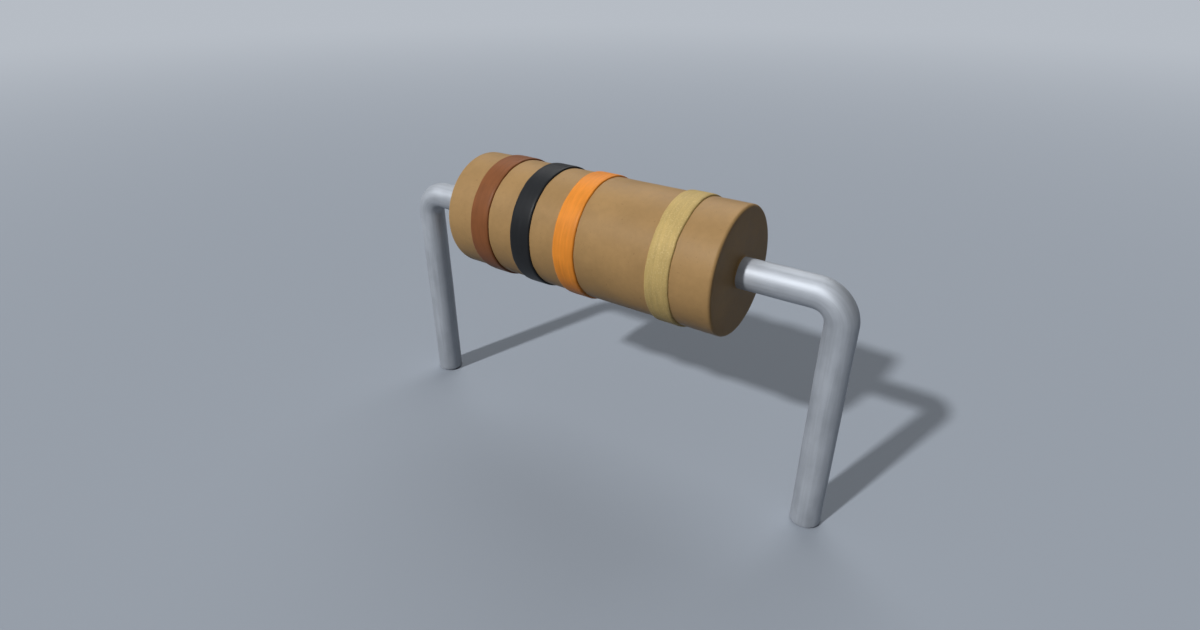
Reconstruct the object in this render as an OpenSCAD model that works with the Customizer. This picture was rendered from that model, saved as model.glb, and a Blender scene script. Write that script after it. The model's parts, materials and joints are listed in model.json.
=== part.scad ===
// Axial carbon film resistor, quarter-watt size, with both leads bent down to stand in a board.
// All sizes are in millimetres. X runs along the body, from the first colour band towards the
// last one, and Z is up. The origin lies midway between the two lead tips, on their plane.

/* [Body] */
// Length of the coated body between its flat ends
body_length = 6.3; // [5.8:0.1:8.4]
// Outside diameter of the coated body
body_diameter = 2.5; // [2:0.05:3.6]
// Rounding of the edge at each end of the body
edge_radius = 0.06; // [0.02:0.01:0.2]
// Thickness of the coat over the flat end of each cap
end_cover = 0.38; // [0.25:0.01:0.7]
// Thickness of the coat over the wall of each cap
side_cover = 0.22; // [0.1:0.01:0.35]

/* [Colour bands] */
// Width of each band along the body
band_width = 0.5; // [0.3:0.05:0.9]
// Height of a band over the coat
band_thickness = 0.04; // [0.02:0.005:0.08]
// Slope of a band's two shoulders, measured along the body
band_shoulder = 0.03; // [0.01:0.005:0.1]
// From the body's left end to the middle of the first band
first_band_inset = 0.95; // [0.55:0.05:1.5]
// Step from the middle of one value band to the next
band_pitch = 1.1; // [0.95:0.05:1.3]
// From the body's right end to the middle of the last band
last_band_inset = 1.05; // [0.55:0.05:1.5]

/* [Leads] */
// Diameter of the lead wire
lead_diameter = 0.6; // [0.4:0.05:0.8]
// Distance between the axes of the two legs, four steps of the board's 2.54 grid
lead_pitch = 10.16; // [9:0.01:15.24]
// Height of the body's axis over the lead tips
axis_height = 5; // [2.5:0.1:20]
// Radius of the bend, to the middle of the wire
bend_radius = 0.5; // [0.45:0.05:1.2]
// Chamfer that the cutter leaves round each tip
tip_chamfer = 0.05; // [0.01:0.01:0.15]
// Radius of the weld fillet between lead and cap
weld_fillet = 0.12; // [0.05:0.01:0.2]

/* [Ceramic rod and film] */
// Chamfer at each end of the rod, and radius of the rounding inside the cap that it clears
rod_chamfer = 0.08; // [0.04:0.01:0.2]
// Thickness of the carbon film, drawn thicker than the real one so that it stays a solid
film_thickness = 0.03; // [0.02:0.005:0.06]
// Turns of the groove that cuts the film into a ribbon
groove_turns = 7; // [3:1:10]
// Width of the groove along the rod
groove_width = 0.16; // [0.08:0.01:0.25]
// Uncut film between each cap's rim and the end of the groove
groove_margin = 0.12; // [0.05:0.01:0.4]

/* [End caps] */
// Wall of the drawn cap, round the rod
cap_wall = 0.15; // [0.08:0.01:0.2]
// Thickness of the cap's flat end
cap_end = 0.2; // [0.1:0.01:0.35]
// Length of rod inside each cap
cap_grip = 1.05; // [0.6:0.05:1.3]
// Outer rounding where the cap's wall meets its end
cap_corner = 0.14; // [0.05:0.01:0.2]

/* [Hidden] */

$fn = 64;
// Straight pieces that stand for a quarter round in a turned outline
corner_steps = 6;
// How far a cut runs past the face that it opens
overrun = 0.5;
// Steps of the film round the rod
film_steps = 40;

coat_tan = "#A98B64";
ink_brown = "#85573C";
ink_black = "#2D2E30";
ink_orange = "#DB8D3F";
ink_gold = "#C7AD72";
tin_grey = "#A5ABB3";
ceramic_white = "#E6E2D8";
carbon_grey = "#3A3835";
cap_grey = "#B9B4A8";

body_r = body_diameter / 2;
body_end = body_length / 2;
band_r = body_r + band_thickness;
first_band_x = first_band_inset - body_end;
last_band_x = body_end - last_band_inset;

cap_r = body_r - side_cover;
film_r = cap_r - cap_wall;
rod_r = film_r - film_thickness;
cap_face_x = body_end - end_cover;
rod_end = cap_face_x - cap_end;
cap_rim_x = rod_end - cap_grip;
film_end = rod_end - rod_chamfer;

lead_r = lead_diameter / 2;
leg_x = lead_pitch / 2;
bend_x = leg_x - bend_radius;
leg_top = axis_height - bend_radius;

// The groove winds from just inside the left cap's rim to just inside the right one's
groove_start = groove_margin - cap_rim_x;
groove_lead = (2 * (cap_rim_x - groove_margin) - groove_width) / groove_turns;
groove_steps = film_steps * groove_turns;
last_rib = groove_steps + film_steps;

// Points of an arc, between two angles
function arc(centre, r, from, to) = [for (i = [0:corner_steps])
    let (a = from + (to - from) * i / corner_steps) centre + r * [cos(a), sin(a)]];

// The same outline points seen from the other end, in the order that closes a ring
function mirrored(points) = [for (i = [len(points) - 1:-1:0]) [points[i].x, -points[i].y]];

// A solid turned about the body's axis, from points that give [radius, place along X]
module turned(points) {
    translate([0, 0, axis_height]) rotate([0, 90, 0]) rotate_extrude() polygon(points);
}

// Right half of the outlines that two pieces share, each from the middle of the body outwards
function cap_side() = concat([[cap_r, cap_rim_x]],
    arc([cap_r - cap_corner, cap_face_x - cap_corner], cap_corner, 0, 90));
function weld_side() = arc([lead_r + weld_fillet, cap_face_x + weld_fillet], weld_fillet, 270, 180);

// Everything that the coat covers: film, caps, welds and the wires out to past its ends
function core_half() = concat([[film_r, cap_rim_x]], cap_side(), weld_side(),
    [[lead_r, body_end + overrun], [0, body_end + overrun]]);
function coat_half() = concat(arc([body_r - edge_radius, body_end - edge_radius], edge_radius, 0, 90),
    [[0, body_end]]);

module body_coat() {
    color(coat_tan) difference() {
        turned(concat(mirrored(coat_half()), coat_half()));
        turned(concat(mirrored(core_half()), core_half()));
    }
}

// A ring of paint on the coat, with sloping shoulders
module band(x) {
    half = band_width / 2;
    turned([[body_r, x - half], [band_r, x - half + band_shoulder],
        [band_r, x + half - band_shoulder], [body_r, x + half]]);
}

module brown_band() color(ink_brown) band(first_band_x);
module black_band() color(ink_black) band(first_band_x + band_pitch);
module orange_band() color(ink_orange) band(first_band_x + 2 * band_pitch);
module gold_band() color(ink_gold) band(last_band_x);

// Section of the wire, off the axis that it is bent about
module wire_section() translate([bend_radius, 0]) circle(r = lead_r);

// Fillet of weld metal where the wire meets the cap's flat end
module weld() turned(concat([[0, cap_face_x]], weld_side(), [[0, cap_face_x + weld_fillet]]));

// What the cutter takes off round a lead's tip
module tip_cut() {
    translate([leg_x, 0, 0]) rotate_extrude() polygon([[lead_r - tip_chamfer, 0], [lead_r, tip_chamfer],
        [lead_r + overrun, tip_chamfer], [lead_r + overrun, -overrun], [lead_r - tip_chamfer, -overrun]]);
}

// One wire: a stub from the weld along the body's axis, a quarter bend, then the leg. All three
// carry the same section, so they meet at the same circles whatever their sizes.
module lead() {
    stub = bend_x - cap_face_x - weld_fillet / 2;
    difference() {
        translate([bend_x, 0, leg_top]) rotate([90, 0, 0]) {
            rotate([90, 0, 90]) translate([0, 0, -stub]) linear_extrude(stub) wire_section();
            rotate_extrude(angle = 90) wire_section();
            rotate([90, 0, 0]) linear_extrude(leg_top) wire_section();
        }
        tip_cut();
    }
    weld();
}

module lead_left() color(tin_grey) mirror([1, 0, 0]) lead();
module lead_right() color(tin_grey) lead();

module ceramic_rod() {
    half = [[rod_r, film_end], [rod_r - rod_chamfer, rod_end], [0, rod_end]];
    color(ceramic_white) turned(concat(mirrored(half), half));
}

// The film is a tube with one helical groove through it. It is built as a ribbon that winds
// round the rod once more than the groove does. Each rib of the ribbon is parallel to the axis
// and has four corners: outer left, outer right, inner right and inner left.
function groove_x(rib) = groove_start + groove_lead * rib / film_steps;
function rib_left(rib) = rib < film_steps ? -film_end : groove_x(rib - film_steps) + groove_width;
function rib_right(rib) = rib > groove_steps ? film_end : groove_x(rib);
function rib_corners(rib) =
    let (a = 360 * (rib % film_steps) / film_steps, inner = rod_r / cos(180 / film_steps))
    [for (p = [[rib_left(rib), film_r], [rib_right(rib), film_r],
        [rib_right(rib), inner], [rib_left(rib), inner]]) [p.x, p.y * cos(a), p.y * sin(a)]];

// Where the groove starts and stops, the ribbon's edge runs on along the rib a turn away
function ribs_here(rib) = rib == groove_steps ? [rib, last_rib] : [rib];
function ribs_next(rib) = rib == film_steps ? [0, rib] : [rib];

// Numbers of the corners along a side of one or two ribs: outer and inner from left to right,
// the two edges from outer to inner
function outer_side(ribs) = [for (r = ribs) each [4 * r, 4 * r + 1]];
function inner_side(ribs) = [for (r = ribs) each [4 * r + 3, 4 * r + 2]];
function left_edge(rib) = [4 * rib, 4 * rib + 3];
function right_edge(rib) = [4 * rib + 1, 4 * rib + 2];

// Triangles between two rows of corners
function strip(a, b) = concat(
    [for (i = [0:len(b) - 2]) [a[0], b[i + 1], b[i]]],
    [for (i = [0:len(a) - 2]) [a[i], a[i + 1], b[len(b) - 1]]]);

module carbon_film() {
    corners = [for (rib = [0:last_rib]) each rib_corners(rib)];
    faces = [for (rib = [0:last_rib - 1]) let (a = ribs_here(rib), b = ribs_next(rib + 1))
        each concat(
            strip(outer_side(a), outer_side(b)),
            strip(inner_side(b), inner_side(a)),
            strip(left_edge(b[0]), left_edge(a[0])),
            strip(right_edge(a[len(a) - 1]), right_edge(b[len(b) - 1])))];
    groove_stops = concat(strip(left_edge(film_steps), right_edge(0)),
        strip(right_edge(groove_steps), left_edge(last_rib)));
    color(carbon_grey) translate([0, 0, axis_height]) polyhedron(corners, concat(faces, groove_stops));
}

// A drawn cup over the end of the filmed rod
module end_cap() {
    inside = arc([film_r - rod_chamfer, rod_end - rod_chamfer], rod_chamfer, 0, 90);
    difference() {
        turned(concat([[0, cap_rim_x]], cap_side(), [[0, cap_face_x]]));
        turned(concat([[0, cap_rim_x - overrun], [film_r, cap_rim_x - overrun]], inside, [[0, rod_end]]));
    }
}

module end_cap_left() color(cap_grey) mirror([1, 0, 0]) end_cap();
module end_cap_right() color(cap_grey) end_cap();

body_coat();
brown_band();
black_band();
orange_band();
gold_band();
lead_left();
lead_right();
ceramic_rod();
carbon_film();
end_cap_left();
end_cap_right();
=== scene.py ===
import json

import bpy
import numpy as np
from mathutils import Matrix, Vector


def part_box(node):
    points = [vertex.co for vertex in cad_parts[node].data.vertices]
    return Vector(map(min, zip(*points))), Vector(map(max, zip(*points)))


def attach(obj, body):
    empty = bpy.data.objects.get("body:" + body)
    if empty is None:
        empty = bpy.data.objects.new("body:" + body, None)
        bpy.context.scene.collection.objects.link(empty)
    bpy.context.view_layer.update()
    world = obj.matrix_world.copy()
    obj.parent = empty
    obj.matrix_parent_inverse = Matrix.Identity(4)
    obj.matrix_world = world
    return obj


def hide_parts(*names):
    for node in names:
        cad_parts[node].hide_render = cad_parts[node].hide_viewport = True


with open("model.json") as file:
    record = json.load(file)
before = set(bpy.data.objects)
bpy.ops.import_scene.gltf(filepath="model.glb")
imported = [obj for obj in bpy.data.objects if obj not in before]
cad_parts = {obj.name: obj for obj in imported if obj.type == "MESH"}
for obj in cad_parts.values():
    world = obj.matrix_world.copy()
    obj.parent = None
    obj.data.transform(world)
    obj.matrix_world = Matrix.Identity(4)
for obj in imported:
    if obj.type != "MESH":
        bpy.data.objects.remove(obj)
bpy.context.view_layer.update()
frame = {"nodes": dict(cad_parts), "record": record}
print("frame loaded with", len(frame["nodes"]), "nodes")

mm = 0.001
turn = 2 * np.pi
sharpAngle = np.radians(35)  # edges that turn by more stay crisp
mounts = {mount["name"]: mount for mount in frame["record"]["mounts"]}


def span(node):  # lowest and highest corner of a CAD node, in millimetres
    low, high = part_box(node)
    return np.array(low) / mm, np.array(high) / mm


def outerRadius(low, high):  # of a node that is turned about the body's axis
    return (high[2] - low[2]) / 2


coatLow, coatHigh = span("body_coat")
bodyEnd = coatHigh[0]
bodyRadius = outerRadius(coatLow, coatHigh)
axisHeight = (coatHigh[2] + coatLow[2]) / 2
capLow, capHigh = span("end_cap_right")
capRim, capFace = capLow[0], capHigh[0]
capRadius = outerRadius(capLow, capHigh)
rodLow, rodHigh = span("ceramic_rod")
rodEnd = rodHigh[0]
rodRadius = outerRadius(rodLow, rodHigh)
filmLow, filmHigh = span("carbon_film")
filmRadius = outerRadius(filmLow, filmHigh)
legMount = mounts["lead_tip_right"]
wireRadius = legMount["dims"]["r_mm"]
legX = legMount["pos_m"][0] / mm

# Sizes at which pieces meet, the same as in the CAD source
joins = {
    "weld": 0.12,            # fillet of weld metal between a wire and its cap
    "capCorner": 0.14,       # outer rounding of a cap
    "rodChamfer": 0.08,      # at the rod's ends, and the rounding inside the cap that it clears
    "tipChamfer": 0.05,      # what the cutter leaves round a wire's tip
}


# Shapes

def arc(centre, radius, start, end, steps):
    # points [x, r] of an arc: centre plus radius times (sin, cos) of the angle from straight out
    angle = np.radians(np.linspace(start, end, steps + 1))
    return np.array(centre) + radius * np.column_stack([np.sin(angle), np.cos(angle)])


def dense(points, step):
    # the same polyline without its last point, each stretch cut into equal parts up to step long
    lengths = np.linalg.norm(np.diff(points, axis=0), axis=1)
    real = lengths > 1e-6
    counts = np.ceil(lengths[real] / step).astype(int)
    return np.concatenate([np.linspace(start, end, count, endpoint=False)
                           for start, end, count in zip(points[:-1][real], points[1:][real], counts)])


def closedLoop(half):
    # a half outline from the middle outwards and back, with its mirror image, as one closed loop
    mirrored = half[::-1] * [-1, 1]
    return np.concatenate([half, mirrored, half[:1]])


def revolve(profile, around):
    # x, r and phi over a grid: each profile point [x, r] at every angle round the body's axis
    phi = np.linspace(0, turn, around, endpoint=False)[None, :]
    x, r = profile[:, :1], profile[:, 1:]
    return x + 0 * phi, r + 0 * phi, phi


def onAxis(x, r, phi):
    # y = r sin(phi), z = axisHeight + r cos(phi)
    return np.stack([x, r * np.sin(phi), axisHeight + r * np.cos(phi)], axis=-1)


def ripple(waves, along, around, seed=1):
    # sum of height * sin(a * along + b * around + start * seed) over the rows (height, a, b, start)
    return sum(height * np.sin(a * along + b * around + start * seed)
               for height, a, b, start in waves)


def makeMesh(name, points, quads, others=(), maps=()):
    # the volume is summed over the quads' corners as seen from the origin: where it comes out
    # negative, the faces point inwards and are turned round, with their places on the flat map
    a, b, c, d = (points[quads[:, k]] for k in range(4))
    volume = np.einsum("ij,ij->", a, np.cross(b, c)) + np.einsum("ij,ij->", a, np.cross(c, d))
    faces = quads.tolist() + [list(face) for face in others]
    if volume < 0:
        faces = [face[::-1] for face in faces]
        maps = [part[:, ::-1] * [-1, 1] + [1, 0] for part in maps]
    mesh = bpy.data.meshes.new(name)
    mesh.from_pydata((points * mm).tolist(), [], faces)
    mesh.shade_smooth()
    mesh.set_sharp_from_angle(angle=sharpAngle)
    if maps:
        flat = np.concatenate([part.reshape(-1, 2) for part in maps])
        layer = mesh.uv_layers.new(name="OFBake")  # the flat map that a finish can be baked through
        layer.uv.foreach_set("vector", flat.ravel().astype(np.float32))
    piece = bpy.data.objects.new(name, mesh)
    bpy.context.scene.collection.objects.link(piece)
    return piece


def reached(lengths):
    # how far along the piece each ring lies, from 0 to 1, from the lengths between rings
    return np.concatenate([[0], np.cumsum(lengths)]) / np.sum(lengths)


def unfold(around, along, strips=1):
    # a flat map: u runs once round the piece and v along it. The way round is cut into strips that
    # lie over one another, and each stays a little inside its share
    strip = np.floor(around.min(axis=-1, keepdims=True) * strips)
    inset = 0.002
    u = inset + (1 - 2 * inset) * (around * strips - strip)
    v = inset + (1 - 2 * inset) * along
    return np.stack([u, (v + strip) / strips], axis=-1)


def joinRings(index, along, strips=1):
    # quads from each ring of point numbers to the next one, and their places on the flat map, where
    # along says how far each ring lies along the piece
    here, there = index[:-1], index[1:]
    quads = np.stack([here, np.roll(here, -1, 1), np.roll(there, -1, 1), there], axis=-1)
    row, column = np.indices(here.shape)[..., None]
    around = (column + [0, 1, 1, 0]) / index.shape[1]
    flat = unfold(around, along[row + [0, 0, 1, 1]], strips)
    return quads.reshape(-1, 4), flat.reshape(-1, 4, 2)


def makeTorus(name, rings, seen, strips=1):
    # each ring joins the next one, and the last joins the first; seen is the share of its length
    # that each row of quads gets on the flat map, so that what is hidden takes little of it
    index = np.arange(rings.shape[0] * rings.shape[1]).reshape(rings.shape[:2])
    lengths = np.linalg.norm(np.roll(rings, -1, axis=0) - rings, axis=-1).mean(axis=1)
    quads, flat = joinRings(np.concatenate([index, index[:1]]), reached(lengths * seen), strips)
    return makeMesh(name, rings.reshape(-1, 3), quads, maps=[flat])


def makeTube(name, rings, unbent=None):
    # each ring joins the next one, and the first and the last are each drawn in to a pole at their
    # middle; unbent gives every point its place on the wire before it was bent
    index = np.arange(rings.shape[0] * rings.shape[1]).reshape(rings.shape[:2])
    poles = rings[[0, -1]].mean(axis=1)
    whole = np.concatenate([0 * rings[:1] + poles[0], rings, 0 * rings[:1] + poles[1]])
    along = reached(np.linalg.norm(np.diff(whole, axis=0), axis=-1).mean(axis=1))
    quads, flat = joinRings(index, along[1:-1])
    column = np.arange(rings.shape[1])[:, None]
    first, last, pole = index[0], index[-1], np.full(rings.shape[1], index.size)
    fans = np.concatenate([np.column_stack([pole, np.roll(first, -1), first]),
                           np.column_stack([pole + 1, last, np.roll(last, -1)])])
    firstFlat = unfold((column + [0.5, 1, 0]) / len(column), along[[0, 1, 1]] + 0 * column)
    lastFlat = unfold((column + [0.5, 0, 1]) / len(column), along[[-1, -2, -2]] + 0 * column)
    points = np.concatenate([rings.reshape(-1, 3), poles])
    piece = makeMesh(name, points, quads, fans.tolist(), [flat, firstFlat, lastFlat])
    if unbent is not None:
        values = np.concatenate([unbent.reshape(-1, 3), unbent[[0, -1]].mean(axis=1)])
        layer = piece.data.attributes.new("straight", "FLOAT_VECTOR", "POINT")
        layer.data.foreach_set("vector", values.ravel().astype(np.float32))
    return piece


def settle(piece, node, material):
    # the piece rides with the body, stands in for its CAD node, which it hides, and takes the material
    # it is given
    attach(piece, "root")
    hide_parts(node)
    piece.data.materials.append(material)


# Materials

class Flow:
    # one socket of a node; arithmetic on it adds Math nodes to the same material
    def __init__(self, maker, socket):
        self.maker = maker
        self.socket = socket

    def math(self, operation, first, second):
        return self.maker.node("ShaderNodeMath", {"operation": operation}, {0: first, 1: second})

    def __add__(self, other):
        return self.math("ADD", self, other)

    def __sub__(self, other):
        return self.math("SUBTRACT", self, other)

    def __mul__(self, other):
        return self.math("MULTIPLY", self, other)

    __radd__ = __add__

    def between(self, low, high):  # 0 at low, 1 at high, smooth and clamped
        values = {"Value": self, "From Min": low, "From Max": high}
        return self.maker.node("ShaderNodeMapRange", {"interpolation_type": "SMOOTHSTEP"}, values)


class Maker:
    # fills the node tree of a material or a world; node() adds a node of any type with its
    # settings first, then the values or links of its sockets
    def __init__(self, owner):
        owner.use_nodes = True
        self.owner = owner
        self.nodes = owner.node_tree.nodes
        self.links = owner.node_tree.links
        self.nodes.clear()

    def node(self, kind, settings, values, out=0):
        made = self.nodes.new(kind)
        for key, value in settings.items():
            setattr(made, key, value)
        for key, value in values.items():
            if isinstance(value, Flow):
                self.links.new(value.socket, made.inputs[key])
            else:
                made.inputs[key].default_value = value
        return None if out is None else Flow(self, made.outputs[out])

    def place(self, stretch=(1, 1, 1), attribute=None):
        # millimetres in the object's own frame, or along a wire as it was before it was bent
        if attribute:
            where = self.node("ShaderNodeAttribute", {"attribute_name": attribute}, {}, "Vector")
            scale = stretch
        else:
            where = self.node("ShaderNodeTexCoord", {}, {}, "Object")
            scale = [value / mm for value in stretch]
        return self.node("ShaderNodeVectorMath", {"operation": "MULTIPLY"}, {0: where, 1: scale})

    def noise(self, place, layer, shift=0):
        # a layer is (repeats in a millimetre, detail, roughness, seed)
        scale, detail, roughness, seed = layer
        values = {"Vector": place, "W": seed + shift, "Scale": scale, "Detail": detail,
                  "Roughness": roughness}
        return self.node("ShaderNodeTexNoise", {"noise_dimensions": "4D"}, values)

    def mix(self, factor, first, second):  # 6 and 7 are the node's colours, and 2 the mixed one
        return self.node("ShaderNodeMix", {"data_type": "RGBA"}, {0: factor, 6: first, 7: second}, 2)

    def tones(self, factor, colour, low, high):
        # the colour times low where the factor is 0, and times high where it is 1
        return self.mix(factor, shade(colour, low), shade(colour, high))

    def bump(self, height):  # height in millimetres
        return self.node("ShaderNodeBump", {}, {"Height": height, "Distance": mm, "Strength": 1})

    def surface(self, values):
        return self.node("ShaderNodeBsdfPrincipled", {}, values)

    def mixShader(self, factor, first, second):
        return self.node("ShaderNodeMixShader", {}, {0: factor, 1: first, 2: second})

    def finish(self, shader, kind="Material"):
        self.node("ShaderNodeOutput" + kind, {}, {"Surface": shader}, None)
        return self.owner


def startMaterial(name):
    return Maker(bpy.data.materials.new(name))


def shade(colour, factor=1.0):  # an RGBA value from three linear numbers
    return (*[channel * factor for channel in colour], 1)


# Layers of noise are (repeats in a millimetre, detail, roughness, seed); heights are millimetres
coatLook = {
    "tan": (0.390, 0.238, 0.100),
    "tones": (0.90, 1.10),            # the darkest and the lightest lacquer, as shares of the tan
    "fleck": (0.20, 0.11, 0.05),
    "fleckShare": 0.35,
    "roughness": 0.47,
    "gloss": 0.16,
    "cloud": (1.1, 3.0, 0.55, 1),
    "grain": (9.0, 3.0, 0.6, 2),
    "speck": (20.0, 1.0, 0.4, 3),
    "peel": (5.5, 2.0, 0.45, 4),
    "peelHeight": 0.0011,             # the lacquer's ripple
    "grainHeight": 0.0006,
    "pitDepth": 0.0012,
}


def coatMaterial():
    look = coatLook
    make = startMaterial("coat")
    place = make.place()
    cloud, grain, speck, peel = (make.noise(place, look[layer])
                                 for layer in ("cloud", "grain", "speck", "peel"))
    base = make.tones((cloud * 0.7 + grain * 0.3).between(0.32, 0.68), look["tan"], *look["tones"])
    pits = speck.between(0.70, 0.80)
    return make.finish(make.surface({
        "Base Color": make.mix(speck.between(0.66, 0.78) * look["fleckShare"], base,
                               shade(look["fleck"])),
        "Roughness": look["roughness"] + (grain - 0.5) * 0.22 + (cloud - 0.5) * 0.10,
        "Normal": make.bump(peel * look["peelHeight"] + grain * look["grainHeight"]
                            - pits * look["pitDepth"]),
        "Specular IOR Level": look["gloss"],
    }))


inkLooks = {
    "brown": {"colour": (0.240, 0.087, 0.032), "roughness": 0.46},
    "black": {"colour": (0.017, 0.018, 0.020), "roughness": 0.44},
    "orange": {"colour": (0.81, 0.276, 0.036), "roughness": 0.46},
    "gold": {"colour": (0.518, 0.373, 0.141), "roughness": 0.56, "metal": 0.05},
}
inkFinish = {
    "tones": (0.88, 1.10),
    "gloss": 0.15,
    "brush": (9.0, 0.7, 0.7),         # the streaks run round the body
    "streak": (2.2, 3.0, 0.6, 0),     # each ink adds its own number to these seeds
    "cloud": (2.4, 2.0, 0.5, 10),
    "grain": (22.0, 2.0, 0.6, 20),
    "flake": (38.0, 1.0, 0.5, 30),
    "streakHeight": 0.0016,
    "grainHeight": 0.0007,
    "glint": (0.80, 0.64, 0.34),      # colour of the metal flakes
    "glintShare": 0.3,
    "glintMetal": 0.15,
}


def inkMaterial(name, number):
    look, ink = inkFinish, inkLooks[name]
    make = startMaterial(name + "_ink")
    streak = make.noise(make.place(look["brush"]), look["streak"], number)
    cloud = make.noise(make.place(), look["cloud"], number)
    grain = make.noise(make.place(), look["grain"], number)
    tone = (streak * 0.55 + cloud * 0.45).between(0.34, 0.66)
    values = {
        "Base Color": make.tones(tone, ink["colour"], *look["tones"]),
        "Roughness": ink["roughness"] + (streak - 0.5) * 0.20 + (grain - 0.5) * 0.12,
        "Normal": make.bump(streak * look["streakHeight"] + grain * look["grainHeight"]),
        "Specular IOR Level": look["gloss"],
    }
    if "metal" in ink:
        flake = make.noise(make.place(), look["flake"], number).between(0.50, 0.72)
        values["Base Color"] = make.mix(flake * look["glintShare"], values["Base Color"],
                                        shade(look["glint"]))
        values["Metallic"] = ink["metal"] + flake * look["glintMetal"]
    return make.finish(make.surface(values))


wireLook = {
    "tin": (0.480, 0.510, 0.555),
    "tones": (0.86, 1.08),
    "metallic": 0.50,                 # tin dulled by its oxide
    "copper": (0.83, 0.42, 0.26),
    "roughness": 0.58,
    "drawn": (0.25, 9.0, 9.0),        # the lines that drawing leaves run along the wire
    "lines": (2.6, 3.0, 0.6, 1),
    "clouded": (0.9, 1.6, 1.6),
    "cloud": (1.3, 3.0, 0.55, 2),
    "grain": (24.0, 2.0, 0.6, 3),
    "lineHeight": 0.0014,
    "grainHeight": 0.0005,
    "cut": (0.004, 0.001),            # from where to where the tip's face turns to copper
}


def wireMaterial(total):
    look = wireLook
    make = startMaterial("tinned_wire")
    lines = make.noise(make.place(look["drawn"], "straight"), look["lines"])
    cloud = make.noise(make.place(look["clouded"], "straight"), look["cloud"])
    place = make.place(attribute="straight")
    grain = make.noise(place, look["grain"])
    start, end = look["cut"]
    cut = make.node("ShaderNodeSeparateXYZ", {}, {0: place}).between(total - start, total - end)
    tin = make.tones((cloud * 0.6 + lines * 0.4).between(0.35, 0.65), look["tin"], *look["tones"])
    bare = cut * (1 - look["metallic"])
    return make.finish(make.surface({
        "Base Color": make.mix(cut, tin, shade(look["copper"])),
        "Metallic": look["metallic"] + bare - (cloud - 0.5) * 0.25,
        "Roughness": look["roughness"] + (cloud - 0.5) * 0.20 + (lines - 0.5) * 0.14,
        "Normal": make.bump(lines * look["lineHeight"] + grain * look["grainHeight"]),
    }))


# What lies inside the coat: its grain's size and depth are millimetres, and turned is the share
# by which turning or drawing has drawn that grain out round the axis
innerLooks = {
    "ceramic": {"colour": (0.80, 0.78, 0.72), "roughness": 0.62, "metallic": 0.0,
                "size": 0.05, "depth": 0.002, "turned": 0.0},
    "carbon": {"colour": (0.045, 0.043, 0.042), "roughness": 0.42, "metallic": 0.0,
               "size": 0.03, "depth": 0.001, "turned": 0.6},
    "cap_steel": {"colour": (0.62, 0.60, 0.55), "roughness": 0.34, "metallic": 1.0,
                  "size": 0.05, "depth": 0.0012, "turned": 0.9},
}
innerFinish = {
    "tones": (0.9, 1.08),
    "grain": (3.0, 0.6, 0),           # the rest of the layer, after one over the grain's size
    "cloud": (1.4, 2.0, 0.5, 5),
}


def innerMaterial(name):
    look = innerLooks[name]
    make = startMaterial(name)
    across = 1 - look["turned"]
    place = make.place((1, across, across))
    grain = make.noise(place, (1 / look["size"], *innerFinish["grain"]))
    cloud = make.noise(make.place(), innerFinish["cloud"])
    tone = (grain * 0.5 + cloud * 0.5).between(0.35, 0.65)
    return make.finish(make.surface({
        "Base Color": make.tones(tone, look["colour"], *innerFinish["tones"]),
        "Roughness": look["roughness"] + (grain - 0.5) * 0.2,
        "Metallic": look["metallic"],
        "Normal": make.bump(grain * look["depth"]),
    }))


# Coat: a closed shell of lacquer round the caps, film and wires
coat = {
    "edge": 0.06,            # rounding of the two end edges
    "meniscus": 0.035,       # how far the lacquer creeps up each wire
    "ripple": 0.0035,        # unevenness of the outside, shared out among the waves
    "waves": ((1.0, 2.1, 2, 0.6), (0.6, 4.7, -3, 2.2), (0.35, 8.3, 5, 4.0)),
    "hiddenShare": 0.2,      # of the inside, on the flat map
    "step": 0.09,            # longest way from one ring to the next
    "around": 256,           # points in a ring
}


def coatRings():
    # outline from the middle of the outside, round the end, in along the wire and back over the
    # cap to the middle of the film, then its mirror image; all turned about the axis
    edge, creep, weld, corner = coat["edge"], coat["meniscus"], joins["weld"], joins["capCorner"]
    half = np.concatenate([
        [[0, bodyRadius]],
        arc([bodyEnd - edge, bodyRadius - edge], edge, 0, 90, 8),
        arc([bodyEnd + creep, wireRadius + creep], -creep, 90, 0, 5),
        arc([capFace + weld, wireRadius + weld], -weld, 0, 90, 5),
        arc([capFace - corner, capRadius - corner], corner, 90, 0, 6),
        [[capRim, capRadius], [capRim, filmRadius], [0, filmRadius]]])
    x, r, phi = revolve(dense(closedLoop(half), coat["step"]), coat["around"])
    waves = ripple(coat["waves"], x, phi) / sum(height for height, *_ in coat["waves"])
    # the ripple dies out down the end faces, so that the inside stays true
    outer = np.clip((r - capRadius) / (bodyRadius - edge - capRadius), 0, 1)
    hidden = (np.abs(x[:, 0]) < bodyEnd - edge) & (r[:, 0] <= capRadius)
    return onAxis(x, r + coat["ripple"] * waves * outer, phi), np.where(hidden, coat["hiddenShare"], 1)


settle(makeTorus("coat", *coatRings()), "body_coat", coatMaterial())
print("coat made")


# Bands: rings of ink with soft shoulders, a slightly wandering edge and a mark where each ends
band = {
    "sink": 0.012,           # how deep the ring's inside lies in the coat
    "wander": 0.010,         # how far an edge wanders along the body
    "wanderCounts": (2, 3, 5, 9, 14, 23),    # how often an edge waves on the way round
    "waves": ((0.02, 3, 7, 1), (0.03, -2, 3, 0)),    # heights as shares of the ring's thickness
    "square": 14,            # how flat the top is: the power of the shoulder curve
    "lap": 0.006,            # extra ink where the ring meets its own start
    "lapWidth": 0.16,        # radians
    "lapRange": (2.6, 3.6),  # radians from the top, so that the mark lies underneath
    "hiddenShare": 0.2,      # of the ring's inside, on the flat map
    "strips": 4,
    "around": 320,
    "across": 22,
}


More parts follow.
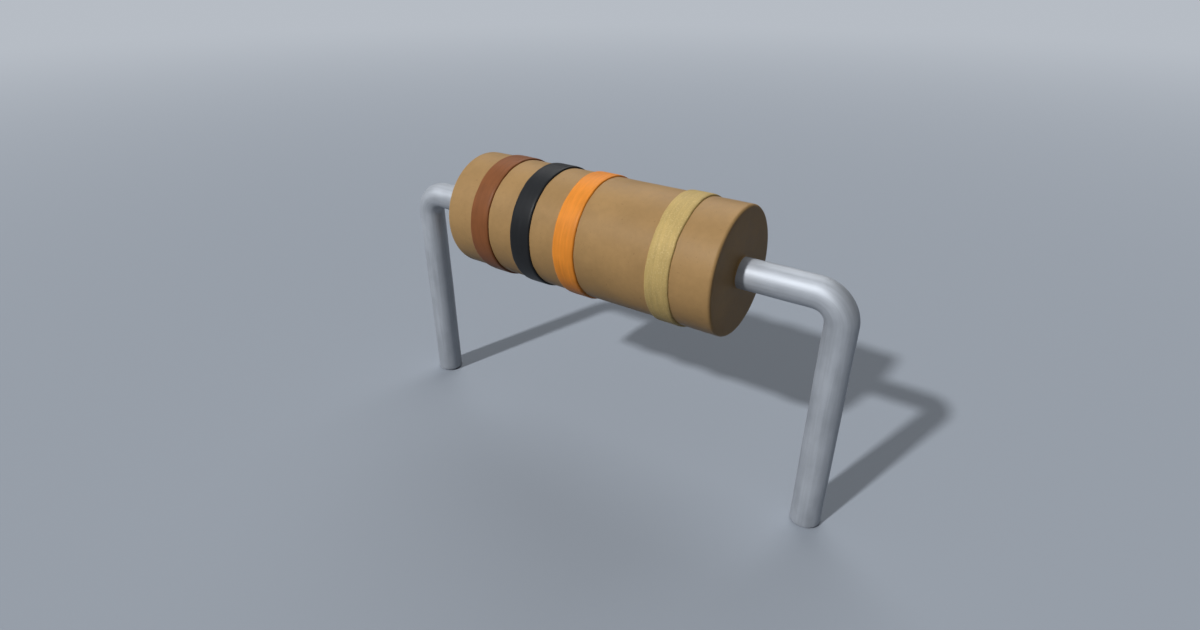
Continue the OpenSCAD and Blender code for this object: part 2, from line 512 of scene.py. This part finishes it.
def bandRings(node, seed):
    # across the ring t runs from -1 to 1: the height is (1 - |t|^square)^(1/2) of the thickness,
    # and x lies between two edges that wander with the angle
    low, high = span(node)
    thickness = outerRadius(low, high) - bodyRadius
    middle, half = (low[0] + high[0]) / 2, (high[0] - low[0]) / 2
    chance = np.random.default_rng(seed)
    phi = np.linspace(0, turn, band["around"], endpoint=False)[None, :]
    counts = np.array(band["wanderCounts"])[:, None, None]
    sizes = chance.uniform(0.4, 1.0, (2, len(counts), 1, 1)) / np.sqrt(counts)
    offsets = chance.uniform(0, turn, (2, len(counts), 1, 1))
    left, right = band["wander"] * (sizes * np.sin(counts * phi + offsets)).sum(axis=1)
    t = np.sin(np.linspace(-1, 1, band["across"]) * np.pi / 2)[:, None]
    height = np.sqrt(np.clip(1 - np.abs(t) ** band["square"], 0, 1))
    lapAt = chance.uniform(*band["lapRange"])
    lap = band["lap"] * np.exp(-((phi - lapAt) / band["lapWidth"]) ** 8)
    x = middle + half * t + (1 - t) / 2 * left + (1 + t) / 2 * right
    waves = ripple(band["waves"], t, phi, seed)
    top = bodyRadius + height * (thickness * (1 + waves) + lap)
    bottom = bodyRadius - band["sink"] + 0 * x
    rings = onAxis(np.concatenate([x, x[::-1]]), np.concatenate([top, bottom]), phi)
    return rings, np.repeat([1, band["hiddenShare"]], band["across"])


for number, colour in enumerate(inkLooks, 1):
    node = colour + "_band"
    ring = makeTorus(colour + "_ring", *bandRings(node, number), band["strips"])
    settle(ring, node, inkMaterial(colour, number))
print("bands made")


# Leads: one wire each, from its weld on the cap through the coat, round the bend to the cut tip
lead = {
    "hub": 0.12,             # radius of the first ring, on the face that is welded to the cap
    # rings of the tip: how far before the wire's end each one lies, and how much its radius drops
    "tip": ((0.06, 0), (0.05, 0.002), (0.0275, 0.018), (0.01, 0.034), (0, 0.05), (0, 0.07),
            (0, 0.16), (0, 0.24)),
    "waves": ((0.0016, 1.7, 2, 1), (0.0010, 3.9, -1, 2)),    # the wire's own unevenness
    "squash": 0.022,         # share by which the bend flattens the wire
    "nick": 0.006,           # depth of the former's mark at each end of the bend
    "nickWidth": 0.16,
    "nickPlace": 0.12,       # from the bend
    "calm": 0.3,             # the length over which the waves die out at the tip
    "patternShift": 7,       # between the patterns of the two wires
    "clear": 0.02,           # from one stretch to the first ring of the next one
    "step": 0.12,
    "bendSteps": 40,
    "around": 72,
}
legTop = legMount["dims"]["length_mm"] + joins["tipChamfer"]
bendRadius = axisHeight - legTop
stubLength = legX - bendRadius - capFace
bendLength = bendRadius * np.pi / 2
wireLength = stubLength + bendLength + legTop


def leadRings(side, seed):
    # rings along the wire, each at s with a radius; the centre line is straight, then turns through
    # a quarter circle, then runs down: x = start + s, + R sin(a), z = axis - R (1 - cos(a)) - s
    weld, clear, step = joins["weld"], lead["clear"], lead["step"]
    bendEnd = stubLength + bendLength
    stations = np.concatenate([
        np.arange(weld + clear, stubLength, step),
        np.linspace(stubLength, bendEnd, lead["bendSteps"]),
        np.arange(bendEnd + 1.5 * clear, wireLength - joins["tipChamfer"] - clear, step)])
    profile = np.concatenate([
        [[0, lead["hub"]], [0, wireRadius]],
        arc([weld, wireRadius + weld], -weld, 90, 0, 6),
        np.column_stack([stations, np.full(len(stations), wireRadius)]),
        [wireLength, wireRadius] - np.array(lead["tip"])])
    s, radius = profile[:, :1], profile[:, 1:]
    psi = np.linspace(0, turn, lead["around"], endpoint=False)[None, :]
    angle = np.clip((s - stubLength) / bendRadius, 0, np.pi / 2)
    flattened = lead["squash"] * np.sin(2 * angle) ** 2 * np.cos(2 * psi)
    marks = sum(np.exp(-((s - at) / lead["nickWidth"]) ** 2)
                for at in (stubLength - lead["nickPlace"], bendEnd + lead["nickPlace"]))
    inner = np.clip(-np.cos(psi), 0, 1) ** 3
    waves = ripple(lead["waves"], s, psi, seed)
    r = radius * (1 - flattened) - lead["nick"] * marks * inner
    r = r + waves * np.clip((wireLength - s) / lead["calm"], 0, 1)
    along = capFace + np.minimum(s, stubLength) + bendRadius * np.sin(angle)
    down = bendRadius * (1 - np.cos(angle)) + np.clip(s - bendEnd, 0, None)
    x = along + r * np.cos(psi) * np.sin(angle)
    z = axisHeight - down + r * np.cos(psi) * np.cos(angle)
    rings = np.stack([side * x, r * np.sin(psi), z], axis=-1)
    unbent = np.stack([s + 0 * r, r * np.cos(psi), r * np.sin(psi)], axis=-1)
    return rings, unbent + [0, 0, 0 if side > 0 else lead["patternShift"]]


wire = wireMaterial(wireLength)
for name, side, seed in (("left", -1, 2), ("right", 1, 5)):
    settle(makeTube("wire_" + name, *leadRings(side, seed)), "lead_" + name, wire)
print("leads made")


# Inside the coat: a ceramic rod with a carbon film, cut into a ribbon by a helical groove, and a
# drawn steel cap pressed over each end
core = {
    "grooveTurns": 7,
    "grooveWidth": 0.16,
    "grooveMargin": 0.12,    # uncut film between a cap's rim and the groove
    "scar": 0.012,           # how deep the cutting wheel went into the ceramic
    "scarWidth": 0.45,       # half of it, as a share of the groove's width
    "rimBreak": 0.02,        # broken edge at the cap's rim
    "rodHub": 0.15,          # radius of the ring round the middle of each flat face
    "capHub": 0.08,
    "seatRing": 0.5,         # radius of a second ring on the cap's inner flat face
    "rodStep": 0.045,
    "capStep": 0.07,
    "around": 160,
}
grooveStart = core["grooveMargin"] - capRim
grooveLead = (2 * (capRim - core["grooveMargin"]) - core["grooveWidth"]) / core["grooveTurns"]


def turnedRings(outline, step):
    # the outline [x, r] runs from near the axis round the outside and back towards the axis
    points = np.concatenate([dense(np.array(outline), step), [outline[-1]]])
    return revolve(points, core["around"])


def rodRings():
    # the radius drops by the scar where x lies in the groove: the groove's middle moves by one lead
    # for each turn, so the distance to it is what is left of (x - middle) / lead after rounding
    chamfer, hub = joins["rodChamfer"], core["rodHub"]
    half = np.array([[rodEnd - chamfer, rodRadius], [rodEnd, rodRadius - chamfer], [rodEnd, hub]])
    x, r, phi = turnedRings(np.concatenate([half[::-1] * [-1, 1], half]), core["rodStep"])
    angle = np.mod(np.pi / 2 - phi, turn) / turn
    turns = (x - grooveStart - core["grooveWidth"] / 2) / grooveLead
    nearest = np.round(turns - angle)
    gap = (turns - angle - nearest) * grooveLead
    cut = (nearest + angle >= 0) & (nearest + angle <= core["grooveTurns"])
    scar = core["scar"] * cut * np.exp(-(gap / (core["scarWidth"] * core["grooveWidth"])) ** 8)
    return onAxis(x, r - scar, phi)


def filmRibbon():
    # The ribbon winds once more than the groove. Each rib across it is parallel to the axis and has
    # four corners: outer left, outer right, inner right and inner left. The left edge is the film's
    # end for the first turn and then the groove's far side; the right edge is the groove's near
    # side, and the film's end for the last turn.
    count, cut = core["around"], core["around"] * core["grooveTurns"]
    rib = np.arange(cut + count + 1)
    near = grooveStart + grooveLead * rib / count
    left = np.where(rib < count, filmLow[0], near - grooveLead + core["grooveWidth"])
    right = np.where(rib > cut, filmHigh[0], near)
    x = np.stack([left, right, right, left], axis=1)
    r = np.array([[filmRadius, filmRadius, rodRadius, rodRadius]])
    angle = turn * rib[:, None] / count
    points = np.stack([x, r * np.cos(angle), axisHeight + r * np.sin(angle)], axis=-1)
    # each rib joins the next with four quads, but where the groove starts and stops the ribbon also
    # meets itself, at a rib z that lies a turn away: there its two wide sides take in the corners of
    # all three ribs, a, b and z, and a wall closes the groove
    plain = np.setdiff1d(rib[:-1], [count - 1, cut])
    side = np.arange(4)
    ahead = (side + 1) % 4
    quads = 4 * (plain[:, None, None] + [0, 0, 1, 1]) + np.stack([side, ahead, ahead, side], axis=-1)
    a, b, z = (range(4 * at, 4 * at + 4) for at in (count - 1, count, 0))
    starts = [(a[0], a[1], b[1], b[0], z[1], z[0]), (a[1], a[2], b[2], b[1]),
              (a[2], a[3], z[3], z[2], b[3], b[2]), (a[3], a[0], z[0], z[3]), (z[1], b[0], b[3], z[2])]
    a, b, z = (range(4 * at, 4 * at + 4) for at in (cut, cut + 1, cut + count))
    stops = [(a[0], a[1], z[0], z[1], b[1], b[0]), (z[1], z[2], b[2], b[1]),
             (z[2], z[3], a[2], a[3], b[3], b[2]), (a[3], a[0], b[0], b[3]), (z[0], a[1], a[2], z[3])]
    return points.reshape(-1, 3), quads.reshape(-1, 4), starts + stops


def capRings(side):
    # outside from the middle of the flat end over the corner to the rim, then back up the inside
    corner, chamfer, broken = joins["capCorner"], joins["rodChamfer"], core["rimBreak"]
    outline = np.concatenate([
        [[capFace, core["capHub"]], [capFace, wireRadius]],
        arc([capFace - corner, capRadius - corner], corner, 90, 0, 8),
        [[capRim + broken, capRadius], [capRim, capRadius - broken], [capRim, filmRadius + broken],
         [capRim + broken, filmRadius]],
        arc([rodEnd - chamfer, filmRadius - chamfer], chamfer, 0, 90, 6),
        [[rodEnd, core["seatRing"]], [rodEnd, core["capHub"]]]])
    x, r, phi = turnedRings(outline, core["capStep"])
    return onAxis(side * x, r, phi)


settle(makeTube("rod", rodRings()), "ceramic_rod", innerMaterial("ceramic"))
settle(makeMesh("film", *filmRibbon()), "carbon_film", innerMaterial("carbon"))
steel = innerMaterial("cap_steel")
settle(makeTube("cap_left", capRings(-1)), "end_cap_left", steel)
settle(makeTube("cap_right", capRings(1)), "end_cap_right", steel)
print("inner pieces made")


# Stage: a plain pale floor that runs out into the backdrop's tone, one soft key lamp from over the
# camera's left shoulder, a faint one from behind, and a studio sky that is brightest at the key
stage = {
    "floor": (0.330, 0.366, 0.420),
    "floorRoughness": 0.8,
    "floorGloss": 0.15,
    "bounce": 0.17,                     # share of the floor's colour that lights the object
    "backdrop": (0.47, 0.505, 0.555),
    "glowRange": (-0.3, 1.0),           # cosine of the angle to the key: darkest sky, and brightest
    "floorSize": 2.0,                   # metres
    "fade": (8.0, 110.0),               # millimetres over which the floor becomes the backdrop
    "ambient": (0.95, 0.98, 1.0),
    "ambientRange": (0.02, 0.22),       # away from the key, and at it
    "mirrorRange": (0.14, 1.00),        # the same for the backdrop as metal shows it
    "keyStrength": 2.52,
    "keyWidth": 3.0,                    # degrees
    "keyTravel": (0.31, 1.15, -1.0),
    "backStrength": 1.12,
    "backWidth": 50.0,
    "backTravel": (0.36, -0.80, -1.0),
}


def addLamp(name, strength, width, travel):
    lamp = bpy.data.lights.new(name, "SUN")
    lamp.energy = strength
    lamp.angle = np.radians(width)
    holder = bpy.data.objects.new(name, lamp)
    holder.rotation_euler = Vector(travel).to_track_quat("-Z", "Y").to_euler()
    bpy.context.scene.collection.objects.link(holder)


def addFloor():
    make = startMaterial("floor")
    distance = make.node("ShaderNodeVectorMath", {"operation": "LENGTH"}, {0: make.place()}, "Value")
    seen = make.surface({"Base Color": shade(stage["floor"]), "Roughness": stage["floorRoughness"],
                         "Specular IOR Level": stage["floorGloss"]})
    glow = make.node("ShaderNodeEmission", {}, {"Color": shade(stage["backdrop"])})
    hidden = make.node("ShaderNodeBsdfDiffuse", {}, {"Color": shade(stage["floor"], stage["bounce"])})
    bounced = make.node("ShaderNodeLightPath", {}, {}, "Is Diffuse Ray")
    pale = make.mixShader(distance.between(*stage["fade"]), seen, glow)
    half = stage["floorSize"] / 2
    corners = [(-half, -half, 0), (half, -half, 0), (half, half, 0), (-half, half, 0)]
    mesh = bpy.data.meshes.new("floor")
    mesh.from_pydata(corners, [], [(0, 1, 2, 3)])
    mesh.materials.append(make.finish(make.mixShader(bounced, pale, hidden)))
    floor = bpy.data.objects.new("floor", mesh)
    bpy.context.scene.collection.objects.link(floor)


def addSky():
    world = bpy.data.worlds.new("sky")
    bpy.context.scene.world = world
    make = Maker(world)
    way = make.node("ShaderNodeTexCoord", {}, {}, "Generated")
    towardsKey = tuple(-Vector(stage["keyTravel"]).normalized())
    facing = make.node("ShaderNodeVectorMath", {"operation": "DOT_PRODUCT"},
                       {0: way, 1: towardsKey}, "Value")
    glow = facing.between(*stage["glowRange"])

    def sky(colour, strength):
        values = {"Color": shade(colour), "Strength": strength}
        return make.node("ShaderNodeBackground", {}, values)

    def graded(colour, dark, bright):
        return sky(colour, dark + glow * (bright - dark))

    glossy = make.node("ShaderNodeLightPath", {}, {}, "Is Glossy Ray")
    camera = make.node("ShaderNodeLightPath", {}, {}, "Is Camera Ray")
    lighting = make.mixShader(glossy, graded(stage["ambient"], *stage["ambientRange"]),
                              graded(stage["backdrop"], *stage["mirrorRange"]))
    make.finish(make.mixShader(camera, lighting, sky(stage["backdrop"], 1)), "World")


# Camera: where the photograph was taken from, fitted to the ends, bands and leads it shows
camera = {
    "place": (7.542, -10.752, 10.155),  # millimetres
    "azimuth": 35.06,                   # degrees to the right of the front
    "elevation": 28.10,
    "focal": 677.6,                     # in pixels of a picture as wide as pictureWidth
    "pictureWidth": 1200,
    "clip": (0.0005, 10.0),             # metres
}


def makeCamera():
    turned, raised = np.radians([camera["azimuth"], camera["elevation"]])
    look = Vector((-np.sin(turned) * np.cos(raised), np.cos(turned) * np.cos(raised), -np.sin(raised)))
    data = bpy.data.cameras.new("camera")
    data.sensor_fit = "HORIZONTAL"
    data.sensor_width = 36.0
    data.lens = data.sensor_width * camera["focal"] / camera["pictureWidth"]
    data.clip_start, data.clip_end = camera["clip"]
    viewer = bpy.data.objects.new("camera", data)
    aim = look.to_track_quat("-Z", "Y")
    viewer.matrix_world = Matrix.LocRotScale(Vector(camera["place"]) * mm, aim, None)
    bpy.context.scene.collection.objects.link(viewer)
    bpy.context.scene.camera = viewer


addLamp("key", stage["keyStrength"], stage["keyWidth"], stage["keyTravel"])
addLamp("back", stage["backStrength"], stage["backWidth"], stage["backTravel"])
addFloor()
addSky()
makeCamera()
bpy.context.scene.view_settings.view_transform = "Standard"
print("stage and camera set")
